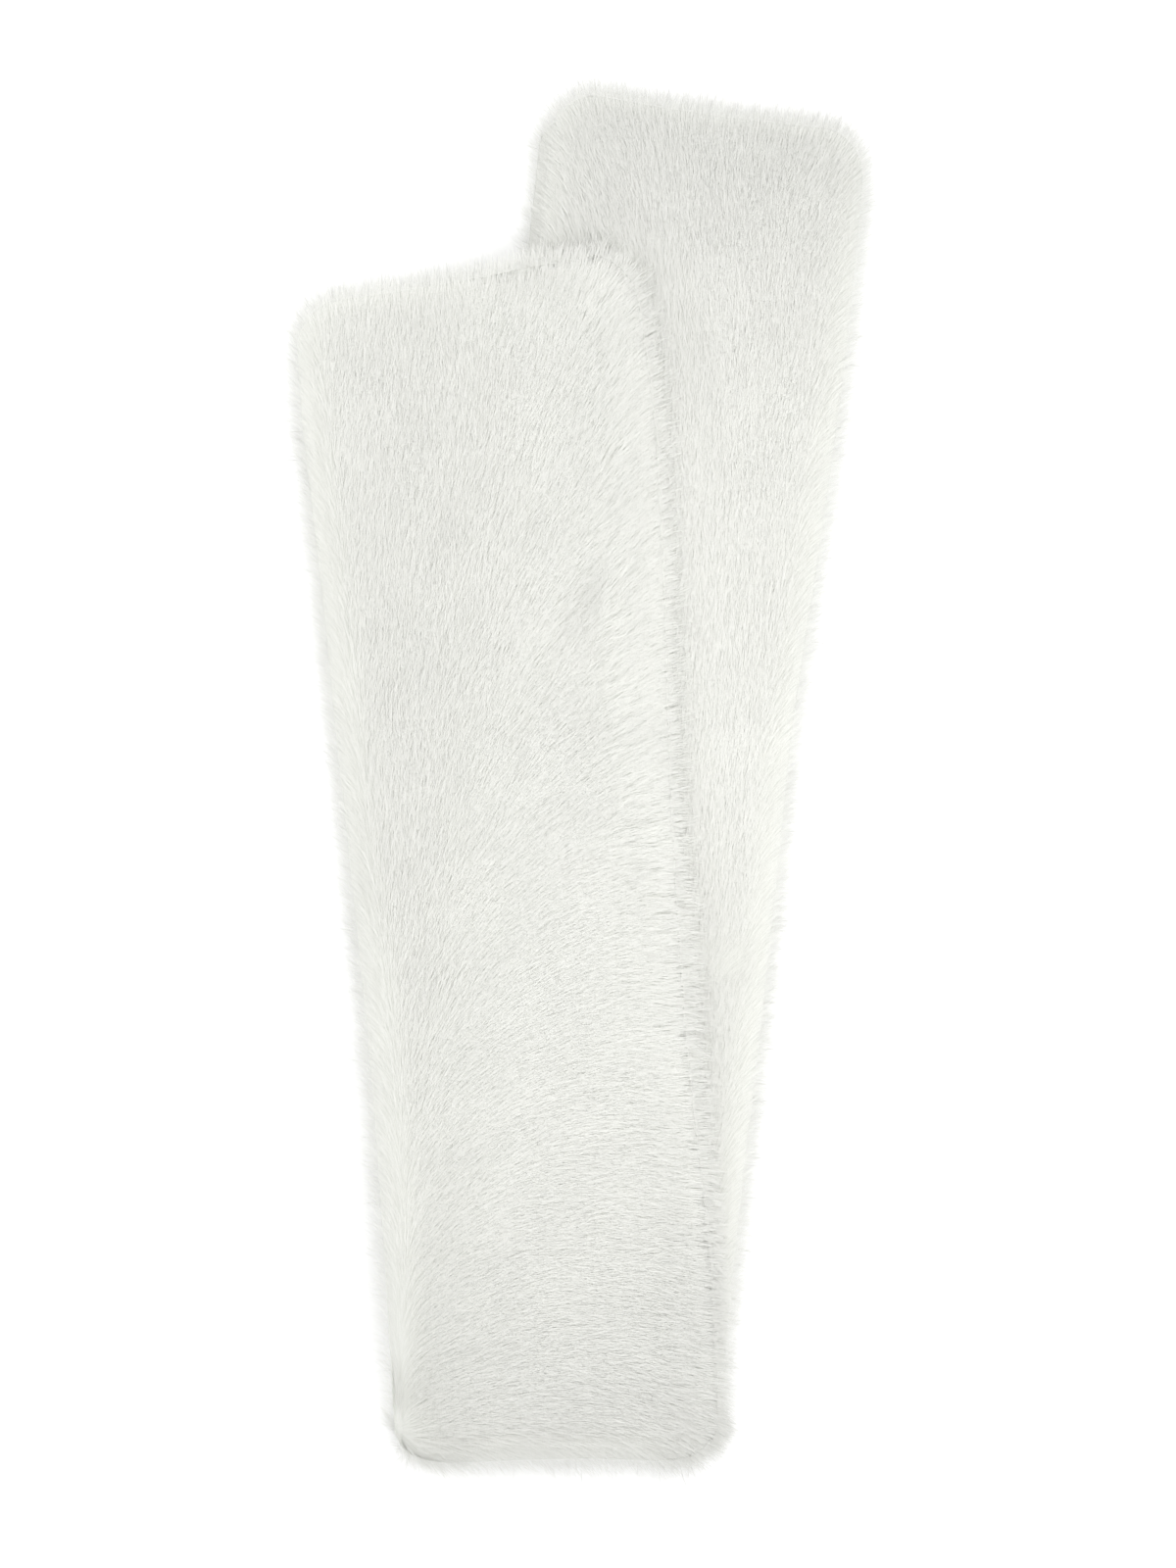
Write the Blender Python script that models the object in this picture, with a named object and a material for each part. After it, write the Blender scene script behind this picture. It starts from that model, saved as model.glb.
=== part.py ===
"""Double-faced fur collar wrap, folded once across its middle and laid flat.

The wrap is a long strip with rounded ends and fur on both faces. It is folded
across its middle, so it lies as a narrow V: the front leg lies on the back leg
and leans away from it to the left, where it comes down to the surface.

Three solids make it up. The outer panel is the fur that shows on the front leg
and round the fold. The inner panel is the fur that shows on the back leg. The
hidden layers, under the front leg and under the back leg, share one solid.

X runs across the wrap, Y up its length away from the fold, and Z is up. The
origin is on the surface, in the middle of the wrap's box. Lengths in metres.
"""

import math
from collections import namedtuple

import bmesh
import bpy
import numpy as np

MM = 0.001

# Thickness of the layers, each a backing with its pile lying down
SHOWN_PILE = 10.0 * MM
PRESSED_PILE = 7.5 * MM
SEAM_GAP = 0.3 * MM

# Heights where both legs lie on each other, worked out from the layers
LOWER_TOP = PRESSED_PILE
INNER_BASE = LOWER_TOP + SEAM_GAP
INNER_TOP = INNER_BASE + SHOWN_PILE
UPPER_BASE = INNER_TOP + SEAM_GAP
UPPER_TOP = UPPER_BASE + PRESSED_PILE
OUTER_BASE = UPPER_TOP + SEAM_GAP
OUTER_TOP = OUTER_BASE + SHOWN_PILE

# Plan: where the legs start at the fold, and how far each leans from the Y axis
FOLD_MIDDLE = (-10.0 * MM, -261.6 * MM)
FRONT_LEAN = math.radians(-4.7)
BACK_LEAN = math.radians(6.7)
FRONT_LENGTH = 475.0 * MM
BACK_LENGTH = 545.0 * MM

# A section across a leg: its place along the leg, how far the pile reaches to
# the left and right of the leg's axis, how it leans, and how wide the pile is
# rounded over at each edge. Lengths in millimetres, the lean in degrees.
Section = namedtuple("Section", "along left right lean left_round right_round")
FRONT_SECTIONS = (
    Section(along=0, left=70.2, right=70.2, lean=1.0, left_round=10, right_round=10),
    Section(along=65, left=69.0, right=72.9, lean=4.0, left_round=10, right_round=12),
    Section(along=138, left=68.7, right=71.4, lean=4.9, left_round=10, right_round=13),
    Section(along=211, left=69.9, right=72.3, lean=5.2, left_round=11, right_round=18),
    Section(along=283, left=71.5, right=75.1, lean=5.5, left_round=12, right_round=32),
    Section(along=356, left=72.4, right=78.3, lean=5.6, left_round=13, right_round=32),
    Section(along=422, left=73.9, right=78.4, lean=6.8, left_round=13, right_round=25),
    Section(along=475, left=73.0, right=73.5, lean=9.2, left_round=13, right_round=17),
)
BACK_SECTIONS = (
    Section(along=0, left=70.2, right=70.2, lean=1.0, left_round=11, right_round=11),
    Section(along=58, left=69.7, right=68.8, lean=-5.0, left_round=11, right_round=11),
    Section(along=138, left=69.5, right=68.8, lean=-5.8, left_round=11, right_round=12),
    Section(along=218, left=69.0, right=68.7, lean=-6.3, left_round=11, right_round=14),
    Section(along=298, left=68.9, right=67.7, lean=-6.7, left_round=11, right_round=15),
    Section(along=378, left=68.3, right=69.8, lean=-6.7, left_round=12, right_round=15),
    Section(along=459, left=68.2, right=70.3, lean=-6.6, left_round=13, right_round=14),
    Section(along=545, left=67.9, right=67.9, lean=-7.8, left_round=13, right_round=13),
)

# Rounding of the ends and edges
END_CORNER = 20.0 * MM
FOLD_ROUND = 20.0 * MM
FOLD_DRAW_IN = 5.0 * MM
END_ROUND = 14.0 * MM
LOW_ROUND = 3.0 * MM
HIDDEN_ROUND = 10.0 * MM
RIM_SHARE = 0.35
EDGE_DROOP = 2.5 * MM
DROOP_WIDTH = 14.0 * MM

# How the hidden layers stand in from the edges of the panels that show
HIDDEN_INSET = 2.0 * MM
HIDDEN_LEFT_COLUMNS_OUT = 2
HIDDEN_RIGHT_COLUMNS_OUT = 4

# How the front leg comes down past the back leg's left edge. Each ramp runs
# between two distances from that edge, plus inside it and minus outside it.
UNDER_RAMP = (-20.0 * MM, -2.0 * MM)
MIDDLE_RAMP = (-48.0 * MM, 14.0 * MM)
TOP_RAMP = (-62.0 * MM, 26.0 * MM)
SIDE_LEFT_DOWN = PRESSED_PILE + SEAM_GAP

# How the outer panel's right edge comes down on the inner panel
SKIRT_FALL = OUTER_BASE - UPPER_BASE
SKIRT_RAMP = (8.0 * MM, 34.0 * MM)
CREST_RISE = 1.6 * MM
CREST_WIDTH = 15.0 * MM

# The slot of the hidden layers that holds the inner panel's folded end
SLOT_END = 24.0 * MM
SLOT_RADIUS = (UPPER_BASE - LOWER_TOP) / 2
TUCK_CLEARANCE = 3.0 * MM
NOSE_CLEARANCE = 1.2 * MM

# Low swells of the pile: size of the rise, and length of the waves
SWELL_DEPTH = 0.9 * MM
SWELL_LENGTH = 86.0 * MM

COLUMNS = 19
HIDDEN_COLUMNS = COLUMNS - HIDDEN_LEFT_COLUMNS_OUT - HIDDEN_RIGHT_COLUMNS_OUT + 2
RING_SPACING = 20.0 * MM
END_STEPS = (0.5 * MM, 1.6 * MM, 4.0 * MM, 8.0 * MM, 13.0 * MM, 20.0 * MM)
FOLD_STEPS = 10

PILE_WHITE = (0.83, 0.83, 0.79, 1.0)
HIDDEN_WHITE = (0.78, 0.78, 0.74, 1.0)
PILE_ROUGHNESS = 0.9

Leg = namedtuple("Leg", "sections lean length")
FRONT_LEG = Leg(FRONT_SECTIONS, FRONT_LEAN, FRONT_LENGTH)
BACK_LEG = Leg(BACK_SECTIONS, BACK_LEAN, BACK_LENGTH)


def smooth(share):
    """An even step from 0 to 1, flat at both ends."""
    share = np.clip(share, 0.0, 1.0)
    return share * share * (3.0 - 2.0 * share)


def ramp(distance, limits):
    """0 before the first limit, 1 after the second."""
    return smooth((distance - limits[0]) / (limits[1] - limits[0]))


def fullness(inside, radius):
    """A quarter round: 0 at an edge, 1 from its radius inwards."""
    share = np.clip(inside / radius, 0.0, 1.0)
    return np.sqrt(share * (2.0 - share))


def section_at(leg, along):
    """The leg's section at any place, on a smooth curve through its rows."""
    rows = np.array(leg.sections, dtype=float)
    places = rows[:, 0] * MM
    slopes = np.gradient(rows[:, 1:], places, axis=0)
    along = float(np.clip(along, places[0], places[-1]))
    row = int(np.clip(np.searchsorted(places, along) - 1, 0, len(places) - 2))
    step = places[row + 1] - places[row]
    t = (along - places[row]) / step
    values = (
        (2 * t**3 - 3 * t**2 + 1) * rows[row, 1:]
        + (t**3 - 2 * t**2 + t) * step * slopes[row]
        + (3 * t**2 - 2 * t**3) * rows[row + 1, 1:]
        + (t**3 - t**2) * step * slopes[row + 1]
    )
    left, right, lean, left_round, right_round = values
    return Section(along, left * MM, right * MM, math.radians(lean), left_round * MM, right_round * MM)


def plan_point(leg, along):
    """The point of the leg's axis at a distance from the fold."""
    return np.array([
        FOLD_MIDDLE[0] + along * math.sin(leg.lean),
        FOLD_MIDDLE[1] + along * math.cos(leg.lean),
    ])


def columns(section, narrower=0.0, count=COLUMNS):
    """Places across a section, closer together towards its edges."""
    share = (1.0 - np.cos(np.linspace(0.0, math.pi, count))) / 2.0
    left = section.left - narrower
    right = section.right - narrower
    return -left + (left + right) * share


def inset_columns(places):
    """The columns of the hidden layer under the front leg, which stops short of the skirt."""
    stop = COLUMNS - HIDDEN_RIGHT_COLUMNS_OUT
    return np.concatenate(([places[0] + HIDDEN_INSET], places[HIDDEN_LEFT_COLUMNS_OUT:stop + 1]))


def place(leg, section, across, ahead, height):
    """Points in space from places across a section, ahead of it and above the surface."""
    ahead = np.broadcast_to(ahead, across.shape)
    height = np.broadcast_to(height, across.shape)
    middle = plan_point(leg, section.along)
    x = middle[0] + across * math.cos(section.lean) - ahead * math.sin(section.lean)
    y = middle[1] + across * math.sin(section.lean) + ahead * math.cos(section.lean)
    return np.stack([x, y, height], axis=1)


def inside_back_leg(points):
    """How far points lie inside the back leg's left edge; minus is outside it."""
    distances = []
    for x, y, _ in points:
        dx = x - FOLD_MIDDLE[0]
        dy = y - FOLD_MIDDLE[1]
        along = dx * math.sin(BACK_LEAN) + dy * math.cos(BACK_LEAN)
        across = dx * math.cos(BACK_LEAN) - dy * math.sin(BACK_LEAN)
        distances.append(across + section_at(BACK_LEG, along).left)
    return np.array(distances)


def swell(points):
    """Low uneven swells of the pile, between 0 and the swell's depth."""
    turn = 2.0 * math.pi / SWELL_LENGTH
    x, y = points[:, 0], points[:, 1]
    waves = np.sin(turn * (0.9 * x + 0.5 * y) + 0.7) + np.sin(turn * (0.35 * y - 1.2 * x) + 2.1)
    return SWELL_DEPTH * (0.5 + 0.25 * waves)


def front_under(depth):
    """Underside of the front leg, by distance inside the back leg's edge."""
    return UPPER_BASE * ramp(depth, UNDER_RAMP)


def front_middle(depth, from_left, from_right):
    """Underside of the outer panel on the front leg."""
    height = SIDE_LEFT_DOWN + (OUTER_BASE - SIDE_LEFT_DOWN) * ramp(depth, MIDDLE_RAMP)
    skirt = SKIRT_FALL * (1.0 - ramp(from_right, SKIRT_RAMP))
    droop = EDGE_DROOP * (1.0 - fullness(from_left, DROOP_WIDTH))
    return height - skirt - droop


def front_top(depth, from_right, section, points):
    """Top of the outer panel on the front leg, with its crest along the right."""
    low = SIDE_LEFT_DOWN + SHOWN_PILE
    height = low + (OUTER_TOP - low) * ramp(depth, TOP_RAMP)
    crest = CREST_RISE * np.exp(-(((from_right - section.right_round) / CREST_WIDTH) ** 2))
    return height + crest - swell(points)


def ring(outer, inner, outer_full, inner_full, rim_share=RIM_SHARE):
    """One closed ring: the outer points left to right, then the inner ones back."""
    rim = inner + rim_share * (outer - inner)
    outer = rim + (outer - rim) * outer_full[:, None]
    inner = rim + (inner - rim) * inner_full[:, None]
    return np.concatenate([outer, inner[-2:0:-1]])


def corner_narrowing(from_end, corner):
    """How much each side draws in towards a rounded corner."""
    short = max(0.0, corner - from_end)
    return corner - math.sqrt(corner**2 - short**2)


def fold_draw_in(turn):
    """How much each side draws in on the way round the fold."""
    return FOLD_DRAW_IN * (1.0 - abs(math.cos(turn)))


def stations(length, first=0.0):
    """Places of the rings along a leg, closer together at its free end."""
    straight = length - END_STEPS[-1]
    count = int(math.ceil((straight - first) / RING_SPACING))
    return list(np.linspace(first, straight, count + 1)) + [length - step for step in END_STEPS[-2::-1]]


def front_stations():
    """Places of the outer panel's rings along the front leg, from the fold to its end."""
    slot_start = SLOT_END + SLOT_RADIUS
    return [0.0, 0.5 * slot_start] + stations(FRONT_LENGTH, slot_start)


def outer_heights(leg, section, across, narrower=0.0):
    """Depth, edge distances and heights of the outer panel at a section."""
    points = place(leg, section, across, 0.0, 0.0)
    depth = inside_back_leg(points)
    from_left = across + section.left - narrower
    from_right = section.right - narrower - across
    base = front_middle(depth, from_left, from_right)
    top = front_top(depth, from_right, section, points)
    return depth, from_left, from_right, base, top


def edge_full(section, from_left, from_right):
    """How full a panel's pile is at places across it: on top, and below."""
    top = fullness(from_left, section.left_round) * fullness(from_right, section.right_round)
    below = fullness(from_left, LOW_ROUND) * fullness(from_right, LOW_ROUND)
    return top, below


def outer_panel_rings():
    """Rings of the outer panel, from the front leg's end to under the fold."""
    rings = []
    for along in reversed(front_stations()):
        section = section_at(FRONT_LEG, along)
        from_end = FRONT_LENGTH - along
        narrower = corner_narrowing(from_end, END_CORNER)
        across = columns(section, narrower)
        _, from_left, from_right, base, top = outer_heights(FRONT_LEG, section, across, narrower)
        outer = place(FRONT_LEG, section, across, 0.0, top)
        inner = place(FRONT_LEG, section, across, 0.0, base)
        top_full, below_full = edge_full(section, from_left, from_right)
        rings.append(ring(outer, inner,
                          top_full * fullness(from_end, END_ROUND),
                          below_full * fullness(from_end, LOW_ROUND)))
    section = section_at(FRONT_LEG, 0.0)
    for step in range(1, FOLD_STEPS + 1):
        turn = math.pi * step / FOLD_STEPS
        narrower = fold_draw_in(turn)
        across = columns(section, narrower)
        _, from_left, from_right, base, top = outer_heights(FRONT_LEG, section, across, narrower)
        tail = SHOWN_PILE - SEAM_GAP
        outer = round_fold(section, across, top, 0.0, turn)
        inner = round_fold(section, across, base, tail, turn)
        left_round = section.left_round + (FOLD_ROUND - section.left_round) * math.sin(turn)
        right_round = section.right_round + (FOLD_ROUND - section.right_round) * math.sin(turn)
        rounded = section._replace(left_round=left_round, right_round=right_round)
        top_full, below_full = edge_full(rounded, from_left, from_right)
        rings.append(ring(outer, inner, top_full, below_full))
    return rings


def round_fold(section, across, high, low, turn):
    """Points on the half circle from a layer's upper height to its lower one."""
    radius = (high - low) / 2.0
    middle = (high + low) / 2.0
    return place(FRONT_LEG, section, across, -radius * math.sin(turn), middle + radius * math.cos(turn))


def inner_panel_rings():
    """Rings of the inner panel, from its folded end to the back leg's free end."""
    rings = []
    first = SLOT_END + TUCK_CLEARANCE
    tucked = [first + step for step in (0.3 * MM, 1.0 * MM, 2.5 * MM)]
    for along in tucked + stations(BACK_LENGTH, first + SLOT_RADIUS):
        section = section_at(BACK_LEG, along)
        from_end = BACK_LENGTH - along
        narrower = corner_narrowing(from_end, END_CORNER)
        across = columns(section, narrower)
        from_left = across + section.left - narrower
        from_right = section.right - narrower - across
        droop = EDGE_DROOP * (1.0 - fullness(np.minimum(from_left, from_right), DROOP_WIDTH))
        points = place(BACK_LEG, section, across, 0.0, 0.0)
        tuck = fullness(along - first, SLOT_RADIUS)
        middle = (INNER_TOP + INNER_BASE) / 2.0
        top = middle + (INNER_TOP - swell(points) - middle) * tuck
        base = middle + (INNER_BASE - middle) * tuck - droop * tuck
        outer = place(BACK_LEG, section, across, 0.0, top)
        inner = place(BACK_LEG, section, across, 0.0, base)
        top_full, below_full = edge_full(section, from_left, from_right)
        rings.append(ring(outer, inner,
                          top_full * fullness(from_end, END_ROUND),
                          below_full * fullness(from_end, LOW_ROUND)))
    return rings


def hidden_full(across, radius):
    """How full a hidden layer is between its own edges."""
    return fullness(across - across[0], radius) * fullness(across[-1] - across, radius)


def upper_arm_rings(last):
    """Rings of the hidden layers under the front leg, from its end down to the slot's end."""
    rings = []
    length = FRONT_LENGTH - HIDDEN_INSET
    end = length - END_STEPS[0]
    shared = [along for along in front_stations() if last <= along < end - END_STEPS[1] / 2]
    for along in [end] + shared[::-1]:
        section = section_at(FRONT_LEG, along)
        from_end = length - along
        narrower = corner_narrowing(FRONT_LENGTH - along, END_CORNER)
        full_width = columns(section, narrower)
        depth, _, _, base, _ = outer_heights(FRONT_LEG, section, full_width, narrower)
        across = inset_columns(full_width)
        top = np.interp(across, full_width, base) - SEAM_GAP
        under = np.interp(across, full_width, front_under(depth))
        rings.append(ring(place(FRONT_LEG, section, across, 0.0, top),
                          place(FRONT_LEG, section, across, 0.0, under),
                          hidden_full(across, HIDDEN_ROUND) * fullness(from_end, HIDDEN_ROUND),
                          hidden_full(across, LOW_ROUND) * fullness(from_end, LOW_ROUND)))
    return rings


def slot_points(across_share, along, rise):
    """Points on the slot's end: a place along the back leg, and a share of the slot's radius."""
    section = section_at(BACK_LEG, along)
    left = section.left - HIDDEN_INSET
    right = section.right - HIDDEN_INSET
    across = -left + (left + right) * across_share
    middle = (UPPER_BASE + LOWER_TOP) / 2.0
    return place(BACK_LEG, section, across, 0.0, middle + rise * SLOT_RADIUS)


def bend_rings(last):
    """Rings of the hidden layers round the slot's end, inside the fold and down to the surface."""
    rings = []
    section = section_at(FRONT_LEG, 0.0)
    nose_low = SHOWN_PILE
    step_in = SEAM_GAP * 1.2
    # Each row: how far round the nose, how far ahead of the fold and how high
    # the outer points are, and where the inner points are on the slot's end.
    Turn = namedtuple("Turn", "turn ahead height slot_along rise")
    half = math.pi / 2.0
    turns = (
        Turn(0.0, 0.5 * last, None, SLOT_END + 0.30 * SLOT_RADIUS, 0.72),
        Turn(0.0, 0.0, None, SLOT_END + 0.05 * SLOT_RADIUS, 0.32),
        Turn(half * 0.5, 0.0, None, SLOT_END, 0.18),
        Turn(half, 0.0, None, SLOT_END, 0.06),
        Turn(half * 1.5, 0.0, None, SLOT_END, -0.06),
        Turn(half * 2.0, 0.0, None, SLOT_END, -0.18),
        Turn(None, step_in, nose_low - SEAM_GAP, SLOT_END, -0.28),
        Turn(None, step_in, 1.0 * MM, SLOT_END + 0.03 * SLOT_RADIUS, -0.42),
        Turn(None, step_in + 1.0 * MM, 0.0, SLOT_END + 0.14 * SLOT_RADIUS, -0.58),
        Turn(None, 0.5 * last, 0.0, SLOT_END + 0.40 * SLOT_RADIUS, -0.84),
    )
    for row in turns:
        if row.turn is None:
            across = columns(section, HIDDEN_INSET, HIDDEN_COLUMNS)
            outer = place(FRONT_LEG, section, across, row.ahead, row.height)
        else:
            narrower = fold_draw_in(row.turn)
            full_width = columns(section, narrower)
            _, _, _, base, _ = outer_heights(FRONT_LEG, section, full_width, narrower)
            across = inset_columns(full_width)
            top = np.interp(across, full_width, base) - NOSE_CLEARANCE
            outer = round_fold(section, across, top, nose_low, row.turn)
            outer[:, 1] += row.ahead
        share = (across - across[0]) / (across[-1] - across[0])
        inner = slot_points(share, row.slot_along, row.rise)
        rings.append(ring(outer, inner, hidden_full(across, HIDDEN_ROUND), hidden_full(across, LOW_ROUND), 0.5))
    return rings


def lower_arm_rings(first):
    """Rings of the hidden layers under the back leg, from the slot's end to its free end."""
    rings = []
    length = BACK_LENGTH - HIDDEN_INSET
    for along in stations(length, first):
        section = section_at(BACK_LEG, along)
        from_end = length - along
        narrower = corner_narrowing(BACK_LENGTH - along, END_CORNER) + HIDDEN_INSET
        across = columns(section, narrower, HIDDEN_COLUMNS)
        rings.append(ring(place(BACK_LEG, section, across, 0.0, 0.0),
                          place(BACK_LEG, section, across, 0.0, LOWER_TOP),
                          hidden_full(across, LOW_ROUND) * fullness(from_end, LOW_ROUND),
                          hidden_full(across, HIDDEN_ROUND) * fullness(from_end, HIDDEN_ROUND), 0.5))
    return rings


def hidden_layer_rings():
    """Rings of the hidden layers: down the front leg, round the fold, up the back leg."""
    last = SLOT_END + SLOT_RADIUS
    return upper_arm_rings(last) + bend_rings(last) + lower_arm_rings(last)


def fur_material(name, colour):
    """A plain soft white finish."""
    material = bpy.data.materials.new(name)
    material.use_nodes = True
    shader = material.node_tree.nodes["Principled BSDF"]
    shader.inputs["Base Color"].default_value = colour
    shader.inputs["Roughness"].default_value = PILE_ROUGHNESS
    shader.inputs["Metallic"].default_value = 0.0
    return material


def solid_from_rings(name, rings, material):
    """One closed solid through the rings, capped at both ends."""
    mesh = bpy.data.meshes.new(name)
    work = bmesh.new()
    loops = []
    for points in rings:
        loops.append([work.verts.new(point) for point in points])
    for first, second in zip(loops, loops[1:]):
        count = len(first)
        for k in range(count):
            nxt = (k + 1) % count
            work.faces.new((first[k], first[nxt], second[nxt], second[k]))
    half = len(loops[0]) // 2
    for loop in (loops[0], loops[-1]):
        for k in range(half):
            upper, upper_next = loop[k], loop[k + 1]
            lower, lower_next = loop[-k % len(loop)], loop[-k - 1]
            corners = list(dict.fromkeys((upper, upper_next, lower_next, lower)))
            work.faces.new(corners)
    bmesh.ops.recalc_face_normals(work, faces=work.faces)
    bmesh.ops.triangulate(work, faces=work.faces)
    work.to_mesh(mesh)
    work.free()
    mesh.materials.append(material)
    mesh.shade_smooth()
    piece = bpy.data.objects.new(name, mesh)
    bpy.context.scene.collection.objects.link(piece)
    return piece


def centre_on_surface(pieces):
    """Moves the meshes so that the wrap's box stands on the origin."""
    points = np.array([vertex.co for piece in pieces for vertex in piece.data.vertices])
    low, high = points.min(axis=0), points.max(axis=0)
    shift = (-(low[0] + high[0]) / 2.0, -(low[1] + high[1]) / 2.0, -low[2])
    for piece in pieces:
        for vertex in piece.data.vertices:
            vertex.co.x += shift[0]
            vertex.co.y += shift[1]
            vertex.co.z += shift[2]


def main():
    for old in list(bpy.data.objects):
        bpy.data.objects.remove(old, do_unlink=True)
    shown = fur_material("ivory_fur", PILE_WHITE)
    hidden = fur_material("pressed_fur", HIDDEN_WHITE)
    pieces = [
        solid_from_rings("outer_panel", outer_panel_rings(), shown),
        solid_from_rings("inner_panel", inner_panel_rings(), shown),
        solid_from_rings("hidden_layers", hidden_layer_rings(), hidden),
    ]
    centre_on_surface(pieces)


main()
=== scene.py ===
"""The looks of a white fur collar wrap, folded once and laid flat, seen from straight above.

Three skins stand for the solids: the outer panel, the inner panel and the hidden layers. Each is
the solid's own form in small faces, drawn in by the depth of the pile, with the partings of the
fur as soft troughs. Every hair is a thin tapering blade rooted in a skin. It follows the lay of the
fur, which turns across each leg, and leans to its lock.
"""

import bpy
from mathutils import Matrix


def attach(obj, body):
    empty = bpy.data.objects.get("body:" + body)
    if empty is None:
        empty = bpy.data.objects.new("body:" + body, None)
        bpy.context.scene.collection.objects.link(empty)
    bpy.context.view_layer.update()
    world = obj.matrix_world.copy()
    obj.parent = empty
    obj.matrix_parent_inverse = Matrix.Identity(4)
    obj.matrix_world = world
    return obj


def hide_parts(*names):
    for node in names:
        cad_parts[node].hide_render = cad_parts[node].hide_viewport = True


bl_info = {
    "name": "Fur collar wrap",
    "version": (1, 0, 0),
    "blender": (4, 5, 0),
    "location": "3D View > Sidebar > Fur wrap",
    "description": "Builds a folded collar wrap with fur on both faces",
    "category": "Object",
}

import math
from collections import namedtuple

import bmesh
import bpy
import numpy as np
from mathutils import Vector
from mathutils.bvhtree import BVHTree
from mathutils.kdtree import KDTree

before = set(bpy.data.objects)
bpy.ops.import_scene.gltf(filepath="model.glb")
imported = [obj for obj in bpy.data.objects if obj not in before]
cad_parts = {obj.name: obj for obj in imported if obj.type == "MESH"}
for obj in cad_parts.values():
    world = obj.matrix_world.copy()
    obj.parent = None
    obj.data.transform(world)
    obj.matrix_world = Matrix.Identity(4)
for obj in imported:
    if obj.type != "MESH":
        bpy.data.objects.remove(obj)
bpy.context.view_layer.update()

MM = 0.001
CM2_EACH_M2 = 1.0e4
BODY = "root"

# The photographed field: how tall it is, its centre over the wrap, how high the camera hangs, and
# how far it sees
FIELD_HEIGHT = 640.0 * MM
FIELD_CENTRE = (3.2 * MM, -2.0 * MM)
CAMERA_HEIGHT = 8.0
SIGHT = 100.0

# The light: a white room, a soft round lamp that points at the wrap, and a floor that glows a
# little. Places and sizes in metres, the lamp's power in watts.
WORLD_STRENGTH = 1.10
LAMP_PLACE = (0.16, 0.05, 1.10)
LAMP_SIZE = 0.8
LAMP_POWER = 2.8
FLOOR_GLOW = 0.14
FLOOR_SIZE = 60.0

# Each skin, the solid it stands for, and the flat cut of what it covers
Skin = namedtuple("Skin", "name node width length rests_on")
SKINS = (
    Skin("outer_fur_panel", "outer_panel", 140 * MM, 530 * MM, "hidden_fur_layers"),
    Skin("inner_fur_panel", "inner_panel", 137 * MM, 520 * MM, "hidden_fur_layers"),
    Skin("hidden_fur_layers", "hidden_layers", 136 * MM, 1000 * MM, "floor"),
)

# The lay of the fur on each leg. For a place up the wrap: the leg's left and right edge, and the
# turns, which say which way the hair tips point at the left edge, in the middle and at the right
# edge, in degrees turned left from pointing right. Places in millimetres.
Lay = namedtuple("Lay", "y left right turns")
FRONT_LAY = (
    Lay(-283, -78, 54, turns=(10, -6, -35)),
    Lay(-242, -81, 60, turns=(34, 4, -20)),
    Lay(-202, -85, 57, turns=(56, 10, -10)),
    Lay(-122, -90, 49, turns=(76, 24, -6)),
    Lay(-82, -93, 47, turns=(82, 32, -5)),
    Lay(-42, -96, 44, turns=(84, 42, -2)),
    Lay(-2, -101, 41, turns=(86, 54, 4)),
    Lay(38, -106, 40, turns=(87, 60, 24)),
    Lay(78, -110, 39, turns=(88, 64, 35)),
    Lay(118, -115, 36, turns=(88, 68, 50)),
    Lay(158, -118, 28, turns=(89, 74, 56)),
    Lay(217, -116, 15, turns=(92, 84, 66)),
)
BACK_LAY = (
    Lay(-283, -78, 54, turns=(96, 92, 86)),
    Lay(78, -34, 99, turns=(98, 90, 80)),
    Lay(158, -25, 110, turns=(104, 92, 76)),
    Lay(218, -18, 118, turns=(114, 94, 70)),
    Lay(283, -10, 104, turns=(124, 92, 60)),
)

# Partings in the fur of the front leg: soft troughs, or ridges where the depth is negative.
# Places and sizes in millimetres, the turn in degrees as for the lay.
Parting = namedtuple("Parting", "x y turn length width depth")
PARTINGS = (
    Parting(-1, 66, turn=66, length=70, width=11, depth=2.6),
    Parting(14, 78, turn=80, length=44, width=10, depth=-1.6),
    Parting(-13, 112, turn=62, length=34, width=8, depth=1.6),
    Parting(4, 122, turn=66, length=40, width=9, depth=1.2),
    Parting(-46, 150, turn=64, length=52, width=11, depth=1.3),
    Parting(-28, 164, turn=66, length=38, width=9, depth=1.0),
    Parting(-60, 96, turn=78, length=60, width=12, depth=1.0),
    Parting(-88, 30, turn=84, length=90, width=12, depth=1.2),
    Parting(-44, 36, turn=70, length=46, width=10, depth=1.0),
    Parting(-30, -4, turn=56, length=36, width=9, depth=1.1),
    Parting(22, -16, turn=2, length=26, width=6, depth=1.5),
    Parting(-8, 14, turn=30, length=40, width=10, depth=1.1),
    Parting(-44, -86, turn=44, length=42, width=10, depth=1.0),
    Parting(-72, -96, turn=70, length=46, width=10, depth=1.1),
    Parting(-20, -118, turn=30, length=48, width=10, depth=1.0),
    Parting(18, -122, turn=-4, length=40, width=9, depth=1.0),
    Parting(-34, -152, turn=34, length=40, width=10, depth=1.2),
    Parting(-20, -196, turn=12, length=36, width=10, depth=1.4),
    Parting(-66, -186, turn=58, length=50, width=10, depth=1.1),
    Parting(12, -214, turn=-4, length=56, width=13, depth=1.3),
    Parting(-36, -236, turn=16, length=50, width=10, depth=1.0),
)

# The crest of the front leg, where the lay turns over and the tufts stand up: its place across
# for places up the wrap, how wide the band of tufts is, and over what length it starts, in
# millimetres
Crest = namedtuple("Crest", "y x")
CREST = (
    Crest(-120, 40),
    Crest(-82, 35),
    Crest(-42, 27),
    Crest(-14, 15),
    Crest(2, 8),
    Crest(118, 6),
    Crest(202, 3),
)
CREST_WIDTH = 22
CREST_START = 60

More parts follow.
